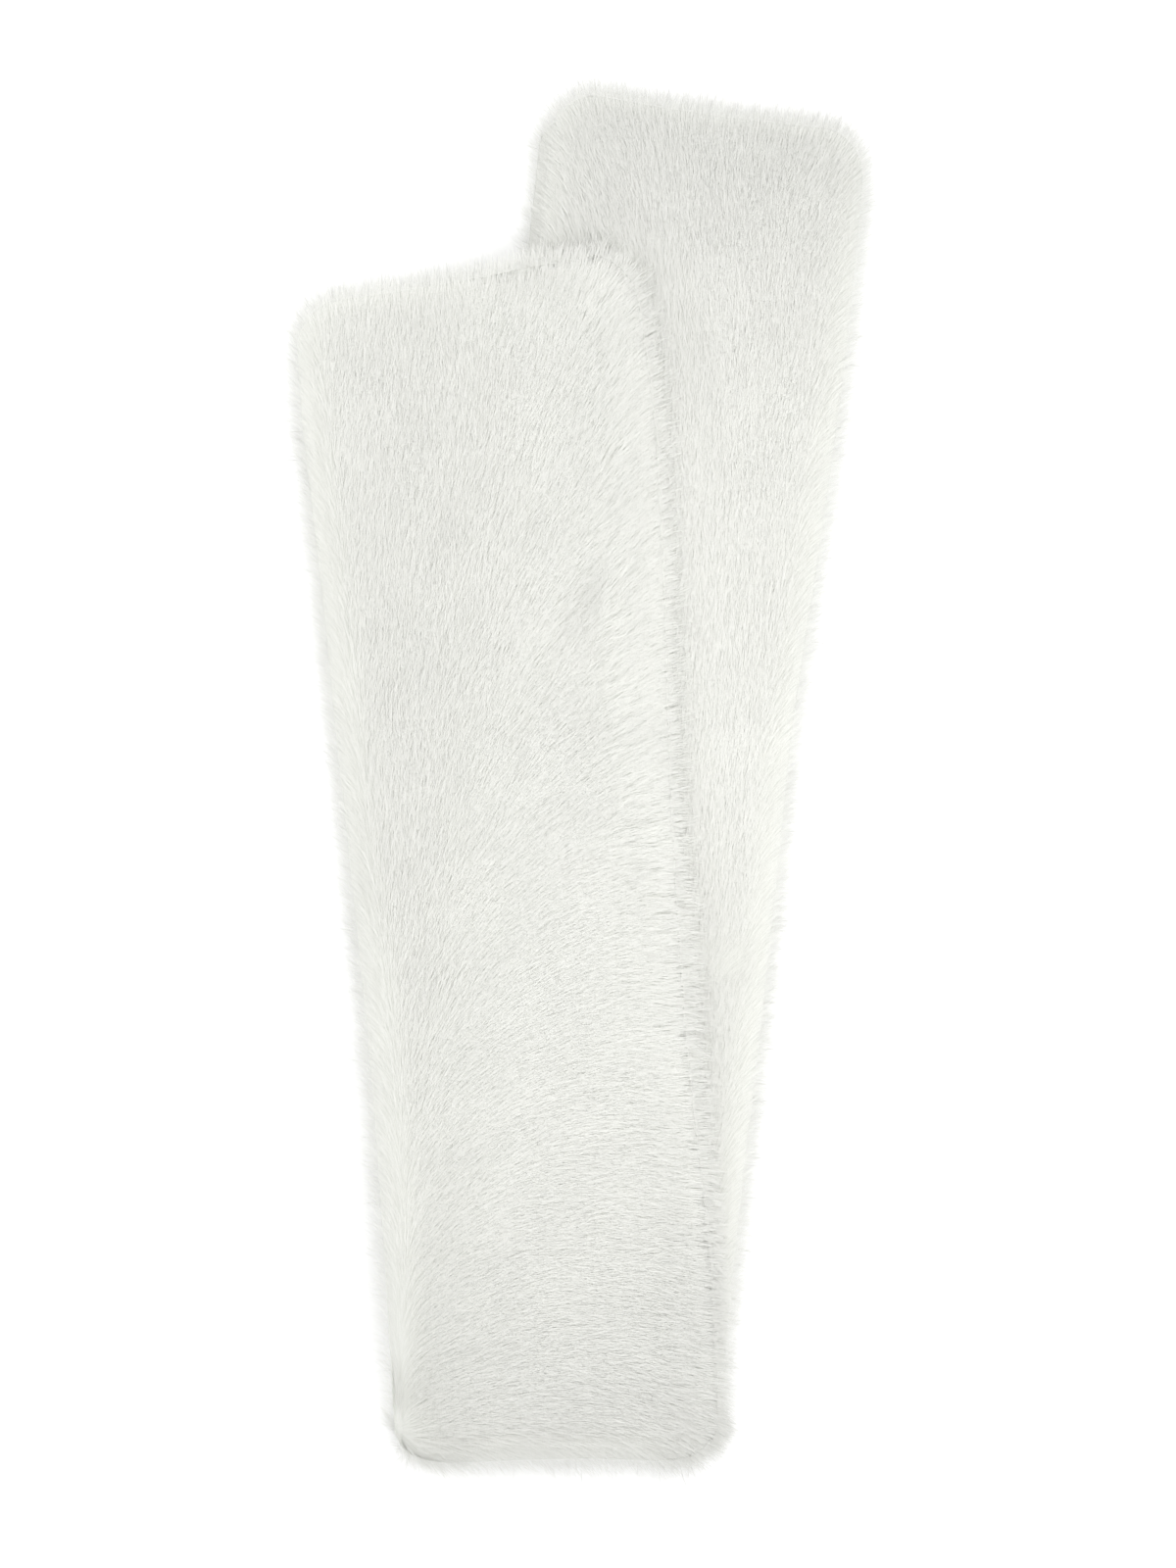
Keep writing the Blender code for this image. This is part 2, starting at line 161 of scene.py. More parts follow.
# Painted light and shade: soft patches where the fur's colour is made whiter to stand for more
# light, or duller to stand for shade where the gain is negative. For each: the skin, the centre and
# the size in millimetres, and the gain as a share
PaintedLightPatch = namedtuple("PaintedLightPatch", "skin x y width length gain")
PAINTED_LIGHT_PATCHES = (
    PaintedLightPatch("inner_fur_panel", x=50, y=20, width=56, length=260, gain=0.04),
    PaintedLightPatch("outer_fur_panel", x=35, y=80, width=38, length=340, gain=0.06),
    PaintedLightPatch("inner_fur_panel", x=80, y=280, width=300, length=170, gain=-0.10),
    PaintedLightPatch("outer_fur_panel", x=-20, y=-300, width=300, length=190, gain=-0.10),
    PaintedLightPatch("outer_fur_panel", x=62, y=-215, width=70, length=200, gain=-0.06),
    PaintedLightPatch("outer_fur_panel", x=-110, y=0, width=110, length=700, gain=-0.02),
)

# Each group of hairs: its skin, and the stretch up the wrap where it is rooted
HairGroup = namedtuple("HairGroup", "name skin low high seed")
HAIR_GROUPS = (
    HairGroup("fold_hair", "outer_fur_panel", -300 * MM, -118 * MM, 11),
    HairGroup("front_leg_hair", "outer_fur_panel", -118 * MM, 50 * MM, 12),
    HairGroup("front_end_hair", "outer_fur_panel", 50 * MM, 300 * MM, 13),
    HairGroup("back_leg_hair", "inner_fur_panel", -300 * MM, 120 * MM, 14),
    HairGroup("back_end_hair", "inner_fur_panel", 120 * MM, 300 * MM, 15),
    HairGroup("side_hair", "hidden_fur_layers", -300 * MM, 300 * MM, 16),
)

# How a blade of hair is built, as shares of its length: how far its tip bends to one side, one
# for each kind of blade, how high its middle arches, and within what distance its ends close
BLADE_BENDS = (-0.14, -0.05, 0.04, 0.13)
BLADE_ARCH = 0.05
MERGE_SHARE = 0.0005

# How far a hair's shading follows the skin's own, as hairs that stand thick do, how much more the
# tufts are pulled together, and how few hairs stray
SKIN_SHADING = 0.96
TUFT_PULL = 3.0
STRAY_RARITY = 9.0

# How the hairs are stirred: the spacing of each stir and its strength along the skin, and the
# share of it that lifts them
STIRS = ((22 * MM, 0.5), (6 * MM, 0.3), (1.5 * MM, 0.2))
LIFT_STIR = 0.05

# Hairs on the faces and on the edges: their length beside the common one, how much shorter the
# shortest are, how few of them are short, and their width beside the common one
FACE_AND_EDGE = {
    "reach": (1.0, 1.4),
    "unevenness": (0.4, 0.84),
    "rarity": (1.0, 0.42),
    "breadth": (1.0, 0.5),
}

# How thickly hairs stand on a free edge and on the underside, beside a face
RIM_DENSITY = 0.8
UNDER_DENSITY = 0.2

# The baking map of the hairs: squares for places on the wrap, each with strips for hairs. The
# wrap's stretch that it covers, how far apart the strips are beside their width, and where a
# strip starts and how long it is in its square.
MAP_SQUARES = 16
MAP_STRIPS = 12
MAP_WIDTH = 0.30
MAP_HEIGHT = 0.62
STRIP_SPACING = 1.15
STRIP_START = 0.02
STRIP_LENGTH = 0.94

# What is drawn by lot for each hair: the range, and a number that keeps its seed apart. Droop is
# the share of the rim angle that a hair on an edge stands up by. The locks have a seed of their own.
Draw = namedtuple("Draw", "name low high number")
DRAWS = (
    Draw("stray", low=0.0, high=1.0, number=1),
    Draw("shortness", low=0.0, high=1.0, number=2),
    Draw("roll", low=-math.radians(10), high=math.radians(10), number=3),
    Draw("breadth", low=0.7, high=1.3, number=4),
    Draw("tone", low=0.0, high=1.0, number=5),
    Draw("strip", low=0.0, high=MAP_STRIPS - 0.001, number=6),
    Draw("blade", low=0.0, high=len(BLADE_BENDS) - 0.001, number=7),
    Draw("droop", low=0.3, high=1.0, number=8),
)
SEED_STEP = 100.0
LOCK_SEED = 7.0

# The least and the most that a hair's own tone, and soft patches of the fur, change its colour by,
# and how wide those patches are
TONE_RANGE = (0.985, 1.01)
PATCH_SPREAD = 30 * MM
PATCH_VALUES = (0.3, 0.7)

# The streaks of the pile's depth: their size across, along and down, how dark they get, how deep
# they are, and how much of that depth shows
STREAK_SIZE = (1.2 * MM, 9 * MM, 2 * MM)
STREAK_SHADE = 0.95
STREAK_RELIEF = 0.5 * MM
STREAK_STRENGTH = 0.5

# How many times the solids' faces are split for the skins, how often they are softened and how
# much each time, and within what distance their vertices are merged first
FACE_SPLITS = 2
SOFTENINGS = 2
SOFTENING = 0.5
MERGE_DISTANCE = 0.01 * MM

# What hides a skin from view: another surface within this distance, or the floor under a wall.
# Where the rays for this start and how far they are tilted, and between which shares of open rays
# the pile grows up to its full depth.
HIDING_DISTANCE = 26.0 * MM
FLOOR_HIDING = 6.0 * MM
RAY_START = 0.8 * MM
RAY_DEPTH = 2.0 * MM
RAY_TILT = 0.7
OPEN_START = 0.15
OPEN_RANGE = 0.5

# How the skins lie on the floor: how far above it, and what counts as resting on it
FLOOR_CLEARANCE = 0.3 * MM
RESTING_HEIGHT = 1.6 * MM
RESTING_FACING = -0.5

# The least that a skin is drawn down, and how far up a surface faces that is drawn down
LEAST_INSET = 0.3 * MM
LEAST_UPWARD = 0.3

# How wide the band along the edges is where the lay turns outward, over how many vertices an
# edge's direction is averaged, and what counts as an edge: how open and how steep it is
EDGE_BAND = 14 * MM
EDGE_NEIGHBOURS = 16
OPEN_WALL = 0.35
STEEP_WALL = 0.6

# Above this height the hidden layers belong to the front leg, and below it to the back leg
LEG_SPLIT = 8 * MM

# How many times what is drawn in, what is stored and which way the skin faces are evened out
# between neighbours
DRAWING_ROUNDS = 12
SHARE_ROUNDS = 2
FACING_ROUNDS = 24

# Where the lay turns sharply the hairs stand up and grow thicker, so that no skin shows: how far
# around a place the lay is averaged, the length of that average where this starts and how much
# shorter it is where it ends, how much thicker the hairs grow, and how far they stand up beside
# those on an edge
LAY_ROUNDS = 14
PARTED_START = 0.94
PARTED_RANGE = 0.5
PARTED_GAIN = 0.9
PARTED_LIFT = 0.6

# How far out from an edge a layer below it is looked for, what share of these finds one where the
# edge lies over a layer, and how far sideways a surface faces that is tested
OVERHANGS = (4 * MM, 8 * MM, 12 * MM)
OVER_START = 0.5
LEAST_SIDEWAYS = 0.15

# How the pile slopes down to an edge that lies over a layer, and how much flatter its hairs lie
SLOPE_BAND = 34 * MM
SLOPE_DEPTH = 5.5 * MM
OVER_FLATNESS = 0.6

# How much darker the hairs on the free edges are painted: painted shade, because light passes
# between them
RIM_SHADE = 0.05

# How the lay turns outward on the edges, over what length up from the fold this starts, how it
# droops there, and how much more it droops over another layer
RIM_OUTWARD = 1.2
FOLD_BAND = 110 * MM
RIM_DROOP = 1.0
OVER_DROOP = 1.2

# What is stored for the hairs on the skins, and on the hairs while they are made
PILE_ATTRIBUTES = {
    "pile_share": "FLOAT",
    "pile_lay": "FLOAT_VECTOR",
    "pile_facing": "FLOAT_VECTOR",
    "pile_rim": "FLOAT",
    "pile_edge": "FLOAT",
    "pile_tuft": "FLOAT",
}
HAIR_ATTRIBUTES = {
    "hair_map": "FLOAT_VECTOR",
    "map_strip": "FLOAT",
    "map_square": "FLOAT_VECTOR",
    "skin_normal": "FLOAT_VECTOR",
}

# The inputs of the hairs' nodes that come straight from a setting, and the setting of each
SETTING_INPUTS = {
    "Length": "pile_length",
    "Width": "hair_width",
    "Lock spacing": "lock_spacing",
    "Lock pull": "lock_pull",
    "Lie angle": "lie_angle",
    "Rim angle": "rim_angle",
    "Tuft angle": "tuft_angle",
    "Stray angle": "stray_angle",
}

# The kinds of node that are used most
MATH = "ShaderNodeMath"
VECTOR_MATH = "ShaderNodeVectorMath"
COMBINE = "ShaderNodeCombineXYZ"
SEPARATE = "ShaderNodeSeparateXYZ"
STORE = "GeometryNodeStoreNamedAttribute"
STORED = "GeometryNodeInputNamedAttribute"


class WrapSizes(bpy.types.PropertyGroup):
    """The sizes of the fur that a user would change."""

    pile_length: bpy.props.FloatProperty(
        name="Pile length", description="Length of the longest common hairs",
        default=12.5 * MM, min=2 * MM, max=40 * MM, unit="LENGTH",
    )
    hair_width: bpy.props.FloatProperty(
        name="Hair width", description="Width of a hair in its middle, wide enough to show",
        default=0.17 * MM, min=0.05 * MM, max=2 * MM, unit="LENGTH",
    )
    hairs_each_cm2: bpy.props.FloatProperty(
        name="Hairs each square cm", description="How thickly the hairs stand",
        default=350.0, min=1.0, max=1000.0,
    )
    lock_spacing: bpy.props.FloatProperty(
        name="Lock spacing", description="Distance between the locks that hairs gather into",
        default=4.5 * MM, min=1 * MM, max=30 * MM, unit="LENGTH",
    )
    lock_pull: bpy.props.FloatProperty(
        name="Lock pull", description="How far a hair's tip leans to the tip of its lock",
        default=0.11, min=0.0, max=1.0, subtype="FACTOR",
    )
    lie_angle: bpy.props.FloatProperty(
        name="Lie angle", description="How steeply hairs rise from the skin on the faces",
        default=math.radians(5), min=0.0, max=math.pi / 2, subtype="ANGLE",
    )
    rim_angle: bpy.props.FloatProperty(
        name="Rim angle", description="How steeply hairs rise from the skin on the edges",
        default=math.radians(58), min=0.0, max=math.pi / 2, subtype="ANGLE",
    )
    stray_angle: bpy.props.FloatProperty(
        name="Stray angle", description="How much further the most stray hairs stand up",
        default=math.radians(55), min=0.0, max=math.pi / 2, subtype="ANGLE",
    )
    tuft_angle: bpy.props.FloatProperty(
        name="Tuft angle", description="How much further the tufts on the crest stand up",
        default=math.radians(14), min=0.0, max=math.pi / 2, subtype="ANGLE",
    )
    top_inset: bpy.props.FloatProperty(
        name="Top inset", description="How deep the skin lies under the pile on the faces",
        default=1.3 * MM, min=0.0, max=8 * MM, unit="LENGTH",
    )
    rim_inset: bpy.props.FloatProperty(
        name="Rim inset", description="How deep the skin lies under the pile on the edges",
        default=5.5 * MM, min=0.0, max=10 * MM, unit="LENGTH",
    )


def linear(colour):
    """A linear colour for shaders, from an sRGB hex value."""
    parts = [int(colour[place:place + 2], 16) / 255 for place in (1, 3, 5)]
    return tuple(p / 12.92 if p <= 0.04045 else ((p + 0.055) / 1.055) ** 2.4 for p in parts)


class WrapColours(bpy.types.PropertyGroup):
    """The colours of the fur and the floor."""

    tip: bpy.props.FloatVectorProperty(
        name="Hair tip", description="Colour of the hairs' tips",
        default=linear("#f8f8f4"), min=0.0, max=1.0, subtype="COLOR",
    )
    root: bpy.props.FloatVectorProperty(
        name="Hair root", description="Colour of the hairs near the skin",
        default=linear("#f3f4ef"), min=0.0, max=1.0, subtype="COLOR",
    )
    # The pile's depth is darker than the hairs: partly its own tone, partly painted shade between
    # hairs
    pile: bpy.props.FloatVectorProperty(
        name="Pressed pile", description="Colour of the pile's depth",
        default=linear("#ebece7"), min=0.0, max=1.0, subtype="COLOR",
    )
    floor: bpy.props.FloatVectorProperty(
        name="Floor", description="Colour of the floor",
        default=linear("#f7f7f7"), min=0.0, max=1.0, subtype="COLOR",
    )


def add_node(tree, kind, inputs=None, **settings):
    """Adds a node with its settings. An input is a value, or another node's output to link."""
    node = tree.nodes.new(kind)
    for name, value in settings.items():
        setattr(node, name, value)
    for key, value in (inputs or {}).items():
        if isinstance(value, bpy.types.NodeSocket):
            tree.links.new(value, node.inputs[key])
        else:
            node.inputs[key].default_value = value
    return node


def smooth_step(share):
    """An even step from 0 to 1, flat at both ends."""
    share = np.clip(share, 0.0, 1.0)
    return share * share * (3.0 - 2.0 * share)


def new_object(name, mesh):
    """An object at the origin for a mesh, with the mesh named after it."""
    mesh.name = name
    piece = bpy.data.objects.new(name, mesh)
    bpy.context.scene.collection.objects.link(piece)
    return piece


def made_plain(piece):
    """Turns what an object's modifiers make into its own mesh."""
    graph = bpy.context.evaluated_depsgraph_get()
    mesh = bpy.data.meshes.new_from_object(piece.evaluated_get(graph))
    old = piece.data
    piece.modifiers.clear()
    piece.data = mesh
    bpy.data.meshes.remove(old)
    mesh.name = piece.name
    return piece


def read_points(mesh):
    """A mesh's places and normals, as arrays."""
    places = np.empty(len(mesh.vertices) * 3, np.float32)
    normals = np.empty(len(mesh.vertices) * 3, np.float32)
    mesh.vertices.foreach_get("co", places)
    mesh.vertex_normals.foreach_get("vector", normals)
    return places.reshape(-1, 3).astype(float), normals.reshape(-1, 3).astype(float)


def write_points(mesh, places):
    """Moves a mesh's vertices."""
    mesh.vertices.foreach_set("co", places.astype(np.float32).ravel())
    mesh.update()


def write_attribute(mesh, name, values):
    """Stores a number or a vector for each vertex."""
    vector = values.ndim == 2
    attribute = mesh.attributes.new(name, "FLOAT_VECTOR" if vector else "FLOAT", "POINT")
    attribute.data.foreach_set("vector" if vector else "value", values.astype(np.float32).ravel())


def fine_skin(skin):
    """A copy of a solid's surface in small faces, softened where the solid has edges."""
    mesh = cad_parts[skin.node].data.copy()
    mesh.materials.clear()
    shape = bmesh.new()
    shape.from_mesh(mesh)
    bmesh.ops.remove_doubles(shape, verts=shape.verts, dist=MERGE_DISTANCE)
    shape.to_mesh(mesh)
    shape.free()
    piece = new_object(skin.name, mesh)
    fine = piece.modifiers.new("Small faces", "SUBSURF")
    fine.subdivision_type = "SIMPLE"
    fine.levels = fine.render_levels = FACE_SPLITS
    soft = piece.modifiers.new("Soften", "SMOOTH")
    soft.factor = SOFTENING
    soft.iterations = SOFTENINGS
    return made_plain(piece)


def bare_share(places, normals, own, layers):
    """How open each place is to the room, from 0 where a layer or the floor covers it, to 1."""
    share = np.zeros(len(places))
    tilts = ((0.0, 0.0), (RAY_TILT, 0.0), (-RAY_TILT, 0.0), (0.0, RAY_TILT), (0.0, -RAY_TILT))
    for index, (place, normal) in enumerate(zip(places, normals)):
        out = Vector(normal)
        side = out.orthogonal().normalized()
        other = out.cross(side)
        above, below = Vector(place) + out * RAY_START, Vector(place) - out * RAY_DEPTH
        for right, up in tilts:
            way = (out + side * right + other * up).normalized()
            if way.z < 0 and above.z < -way.z * FLOOR_HIDING:
                continue
            if own.ray_cast(above, way, HIDING_DISTANCE)[0]:
                continue
            if any(tree.ray_cast(below, way, HIDING_DISTANCE)[0] for tree in layers):
                continue
            share[index] += 1 / len(tilts)
    return share


def between_rows(rows, values, y):
    """Values that are given for a leg's rows, at places up the wrap."""
    return np.interp(y, [row.y * MM for row in rows], values)


def side_of_leg(rows, side, places):
    """Where a leg's left or right edge is beside each place."""
    return between_rows(rows, [getattr(row, side) for row in rows], places[:, 1]) * MM


def across_leg(rows, places):
    """How far across a leg each place is, from 0 at its left edge to 1 at its right edge."""
    left, right = side_of_leg(rows, "left", places), side_of_leg(rows, "right", places)
    return np.clip((places[:, 0] - left) / (right - left), 0.0, 1.0)


def sideways_inset(rows, places, inset):
    """How each place on a leg moves, seen from above, when all its edges are drawn in."""
    low, high = rows[0].y * MM, rows[-1].y * MM
    along = np.clip((places[:, 1] - low) / (high - low), 0.0, 1.0)
    across = across_leg(rows, places)
    way = np.stack([1 - 2 * across, 1 - 2 * along, np.zeros(len(places))], axis=1)
    return inset * way / np.maximum(np.linalg.norm(way, axis=1), 1.0)[:, None]


def turn_of_lay(rows, places):
    """Which way hair tips point at places on a leg, in radians."""
    across = across_leg(rows, places)
    left, middle, right = (
        between_rows(rows, turns, places[:, 1]) for turns in zip(*(row.turns for row in rows))
    )
    turn = left * (1 - across) * (1 - 2 * across)
    turn += middle * 4 * across * (1 - across)
    turn += right * across * (2 * across - 1)
    return np.radians(turn)


def parting_depth(places):
    """How deep the partings press the pile at places on the front leg."""
    depth = np.zeros(len(places))
    for parting in PARTINGS:
        turn = math.radians(parting.turn)
        x = places[:, 0] - parting.x * MM
        y = places[:, 1] - parting.y * MM
        along = (x * math.cos(turn) + y * math.sin(turn)) / (parting.length * MM / 2)
        across = (y * math.cos(turn) - x * math.sin(turn)) / (parting.width * MM / 2)
        depth += parting.depth * MM * np.exp(-(along ** 2) - across ** 2)
    return depth


def crest_share(places):
    """How near each place is to the crest of the front leg, from 0 to 1."""
    rows = [(row.y * MM, row.x * MM) for row in CREST]
    crest = np.interp(places[:, 1], *zip(*rows))
    aside = (places[:, 0] - crest) / (CREST_WIDTH * MM / 2)
    ends = smooth_step((places[:, 1] - rows[0][0]) / (CREST_START * MM))
    return np.exp(-(aside ** 2)) * ends


def painted_patch_gain(name, places):
    """How much whiter or duller the patches of painted light and shade make the fur of a skin."""
    gain = np.zeros(len(places))
    for patch in PAINTED_LIGHT_PATCHES:
        if patch.skin == name:
            x = (places[:, 0] - patch.x * MM) / (patch.width * MM / 2)
            y = (places[:, 1] - patch.y * MM) / (patch.length * MM / 2)
            gain += patch.gain * np.exp(-(x ** 2) - y ** 2)
    return gain


def over_share(places, normals, layers):
    """How nearly each place on an edge lies over another layer, from 0 to 1."""
    share = np.zeros(len(places))
    flat = normals * (1, 1, 0)
    flat /= np.maximum(np.linalg.norm(flat, axis=1), 1e-6)[:, None]
    for index in np.flatnonzero(np.hypot(normals[:, 0], normals[:, 1]) > LEAST_SIDEWAYS):
        for reach in OVERHANGS:
            start = Vector(places[index] + flat[index] * reach + (0.0, 0.0, RAY_START))
            if any(tree.ray_cast(start, (0.0, 0.0, -1.0), HIDING_DISTANCE)[0] for tree in layers):
                share[index] += 1 / len(OVERHANGS)
    return share


def evened(mesh, values, rounds):
    """Values of a mesh's vertices, each moved halfway to its neighbours' mean, again and again."""
    ends = np.empty(len(mesh.edges) * 2, np.int32)
    mesh.edges.foreach_get("vertices", ends)
    first, second = ends.reshape(-1, 2).T
    start, stop = np.concatenate([first, second]), np.concatenate([second, first])
    count = np.maximum(np.bincount(start, minlength=len(values)), 1)
    columns = values.reshape(len(values), -1).T
    for _ in range(rounds):
        means = [np.bincount(start, column[stop], len(values)) / count for column in columns]
        columns = (columns + np.array(means)) / 2
    return columns.T.reshape(values.shape)


def along_surface(ways, normals):
    """Directions turned flat onto a surface, each of length 1."""
    ways = ways - (ways * normals).sum(1)[:, None] * normals
    return ways / np.maximum(np.linalg.norm(ways, axis=1), 1e-6)[:, None]


def nearest_edge(places, normals, edge, count):
    """For each place, how far away the nearest places of an edge are, seen from above, and
    which way that edge faces on average."""
    points = [Vector((x, y, 0.0)) for x, y in places[edge, :2]]
    facing = normals[edge] * (1, 1, 0)
    near = KDTree(len(points))
    for index, point in enumerate(points):
        near.insert(point, index)
    near.balance()
    away = np.full(len(places), np.inf)
    outward = np.zeros((len(places), 3))
    if points:
        for index, (x, y) in enumerate(places[:, :2]):
            found = near.find_n((x, y, 0.0), count)
            away[index] = found[0][2]
            outward[index] = facing[[number for _, number, _ in found]].sum(0)
    outward /= np.maximum(np.linalg.norm(outward, axis=1), 1e-6)[:, None]
    return away, outward


def lay_pile_on(piece, skin, own, layers, sizes):
    """Draws a skin in under its pile and stores how the pile grows on it."""
    mesh = piece.data
    places, normals = read_points(mesh)
    bare = bare_share(places, normals, own, layers)
    over = over_share(places, normals, layers)
    rim = np.hypot(normals[:, 0], normals[:, 1]) ** 2
    wall = (rim > STEEP_WALL) & (bare > OPEN_WALL)
    open_share = smooth_step((bare - OPEN_START) / OPEN_RANGE)
    away, outward = nearest_edge(places, normals, wall, EDGE_NEIGHBOURS)

    # The lay turns outward on the edges, but not at the fold, and lies down on the layer below
    rows = BACK_LAY if skin.node == "inner_panel" else FRONT_LAY
    turn = turn_of_lay(rows, places)
    lay = np.stack([np.cos(turn), np.sin(turn), np.zeros(len(turn))], axis=1)
    near_edge = 1.0 - smooth_step(away / EDGE_BAND)
    beyond_fold = smooth_step((places[:, 1] - rows[0].y * MM) / FOLD_BAND)
    turning = RIM_OUTWARD * near_edge * beyond_fold
    lay += turning[:, None] * outward
    lay[:, 2] -= (RIM_DROOP + OVER_DROOP * over) * rim
    lay = along_surface(lay, normals)
    common = np.linalg.norm(evened(mesh, lay, LAY_ROUNDS), axis=1)
    parted = smooth_step((PARTED_START - common) / PARTED_RANGE)

    # Each leg is drawn in sideways, all its layers alike, and faces are drawn down
    upper = 2 * evened(mesh, np.where(normals[:, 2] > LEAST_UPWARD, 1.0, 0.0), DRAWING_ROUNDS)
    back_left = side_of_leg(BACK_LAY, "left", places)
    in_front = (places[:, 2] > LEG_SPLIT) | (places[:, 0] < back_left)
    if skin.node != "hidden_layers":
        in_front[:] = skin.node == "outer_panel"
    drawn_in = np.where(
        in_front[:, None],
        sideways_inset(FRONT_LAY, places, sizes.rim_inset),
        sideways_inset(BACK_LAY, places, sizes.rim_inset),
    )
    drawn_in = evened(mesh, drawn_in, DRAWING_ROUNDS)
    drawn_down = LEAST_INSET + sizes.top_inset * open_share
    near_over = np.zeros(len(places))
    if skin.node == "outer_panel":
        over_away = nearest_edge(places, normals, wall & (over > OVER_START), 1)[0]
        near_over = 1.0 - smooth_step(over_away / SLOPE_BAND)
        drawn_down += parting_depth(places) + SLOPE_DEPTH * near_over
    places = places + drawn_in
    places[:, 2] -= drawn_down * np.clip(upper, 0.0, 1.0)
    resting = (places[:, 2] < RESTING_HEIGHT) & (normals[:, 2] < RESTING_FACING)
    places[resting, 2] = FLOOR_CLEARANCE
    places[:, 2] = np.maximum(places[:, 2], FLOOR_CLEARANCE)
    write_points(mesh, places)
    drawn_normals = read_points(mesh)[1]
    facing = evened(mesh, drawn_normals, FACING_ROUNDS)

    tuft = crest_share(places) if skin.node == "outer_panel" else np.zeros(len(places))
    free_rim = rim * (1 - over)
    under = smooth_step(-normals[:, 2])
    share = open_share * (1 - (1 - RIM_DENSITY) * free_rim) * (1 - (1 - UNDER_DENSITY) * under)
    share *= 1 + PARTED_GAIN * parted
    # Painted light and shade: the patches make the fur whiter or duller, and the free edges are
    # painted darker
    gain = (1.0 + painted_patch_gain(skin.name, places)) * (1 - RIM_SHADE * free_rim)
    flatter = 1 - OVER_FLATNESS * near_over
    write_attribute(mesh, "pile_share", evened(mesh, share, SHARE_ROUNDS))
    write_attribute(mesh, "pile_lay", along_surface(lay, drawn_normals))
    write_attribute(mesh, "pile_facing", facing)
    write_attribute(mesh, "pile_rim", np.maximum(rim, PARTED_LIFT * parted) * flatter)
    write_attribute(mesh, "pile_edge", np.maximum(rim, near_edge) * flatter)
    write_attribute(mesh, "pile_tuft", tuft * (1 - rim))
    write_attribute(mesh, "painted_light_and_shade", evened(mesh, gain, SHARE_ROUNDS))


def chain(tree, kind, value, *steps):
    """Takes a value through a row of nodes of one kind. Each step is an operation and what goes
    into its other input, or None."""
    for operation, other in steps:
        inputs = {0: value}
        if other is not None:
            inputs["Scale" if operation == "SCALE" else 1] = other
        value = add_node(tree, kind, inputs, operation=operation).outputs[0]
    return value


def stored_together(tree, geometry, domain, rows):
    """Stores values on a geometry. Each row is a name, a kind and a value."""
    for name, kind, value in rows:
        inputs = {"Geometry": geometry, "Name": name, "Value": value}
        geometry = add_node(tree, STORE, inputs, data_type=kind, domain=domain).outputs[0]
    return geometry


def rooted_hairs(tree, given, pile, place):
    """The hairs' roots, which way the skin faces there, and where the lock of each is rooted."""
    density = chain(tree, MATH, pile["pile_share"], ("MULTIPLY", given["Hairs each square metre"]))
    spread = chain(tree, MATH, given["Lock spacing"], ("POWER", 2.0))
    lock_density = chain(tree, MATH, 1.0, ("DIVIDE", spread))
    lock_seed = chain(tree, MATH, given["Seed"], ("ADD", LOCK_SEED))
    roots, locks = (
        add_node(
            tree, "GeometryNodeDistributePointsOnFaces",
            {"Mesh": given["Skin"], "Density": thickness, "Seed": seed},
            distribute_method="RANDOM",
        )
        for thickness, seed in ((density, given["Seed"]), (lock_density, lock_seed))
    )
    nearest = add_node(
        tree, "GeometryNodeSampleNearest",
        {"Geometry": locks.outputs["Points"], "Sample Position": place}, domain="POINT",
    )
    lock_place = add_node(
        tree, "GeometryNodeSampleIndex",
        {"Geometry": locks.outputs["Points"], "Value": place, "Index": nearest.outputs["Index"]},
        data_type="FLOAT_VECTOR", domain="POINT",
    )
    return roots.outputs["Points"], roots.outputs["Normal"], lock_place.outputs[0]


def hair_ways(tree, given, pile, drawn, place, normal, lock_place):
    """Which way each hair points: the lay, raised from the skin, stirred, and pulled to its lock."""
    stray = chain(
        tree, MATH, drawn["stray"], ("POWER", STRAY_RARITY), ("MULTIPLY", given["Stray angle"])
    )
    droop = chain(tree, MATH, given["Rim angle"], ("MULTIPLY", drawn["droop"]))
    tufted = chain(tree, MATH, pile["pile_tuft"], ("MULTIPLY", given["Tuft angle"]))
    lift = add_node(
        tree, "ShaderNodeMix",
        {"Factor": pile["pile_rim"], 2: given["Lie angle"], 3: droop}, data_type="FLOAT",
    ).outputs[0]
    lift = chain(tree, MATH, lift, ("ADD", tufted), ("ADD", stray))
    cosine = chain(tree, MATH, lift, ("COSINE", None))
    sine = chain(tree, MATH, lift, ("SINE", None))
    raised = chain(tree, VECTOR_MATH, normal, ("SCALE", sine))
    way = chain(tree, VECTOR_MATH, pile["pile_lay"], ("SCALE", cosine), ("ADD", raised))
    for spacing, strength in STIRS:
        stir = add_node(
            tree, "ShaderNodeTexNoise",
            {"Vector": place, "Scale": 1 / spacing, "Detail": 1.0, "Roughness": 0.5},
        )
        centred = chain(tree, VECTOR_MATH, stir.outputs["Color"], ("SUBTRACT", (0.5, 0.5, 0.5)))
        lifting = chain(tree, VECTOR_MATH, centred, ("PROJECT", normal), ("SCALE", 1 - LIFT_STIR))
        pushed = chain(tree, VECTOR_MATH, centred, ("SUBTRACT", lifting), ("SCALE", strength))
        way = chain(tree, VECTOR_MATH, way, ("ADD", pushed))
    more = chain(tree, MATH, pile["pile_tuft"], ("MULTIPLY", TUFT_PULL))
    more = chain(tree, MATH, 1.0, ("ADD", more))
    pull = chain(tree, MATH, given["Lock pull"], ("DIVIDE", given["Length"]), ("MULTIPLY", more))
    to_lock = chain(tree, VECTOR_MATH, lock_place, ("SUBTRACT", place), ("SCALE", pull))
    return chain(
        tree, VECTOR_MATH, way, ("NORMALIZE", None), ("ADD", to_lock), ("NORMALIZE", None)
    )


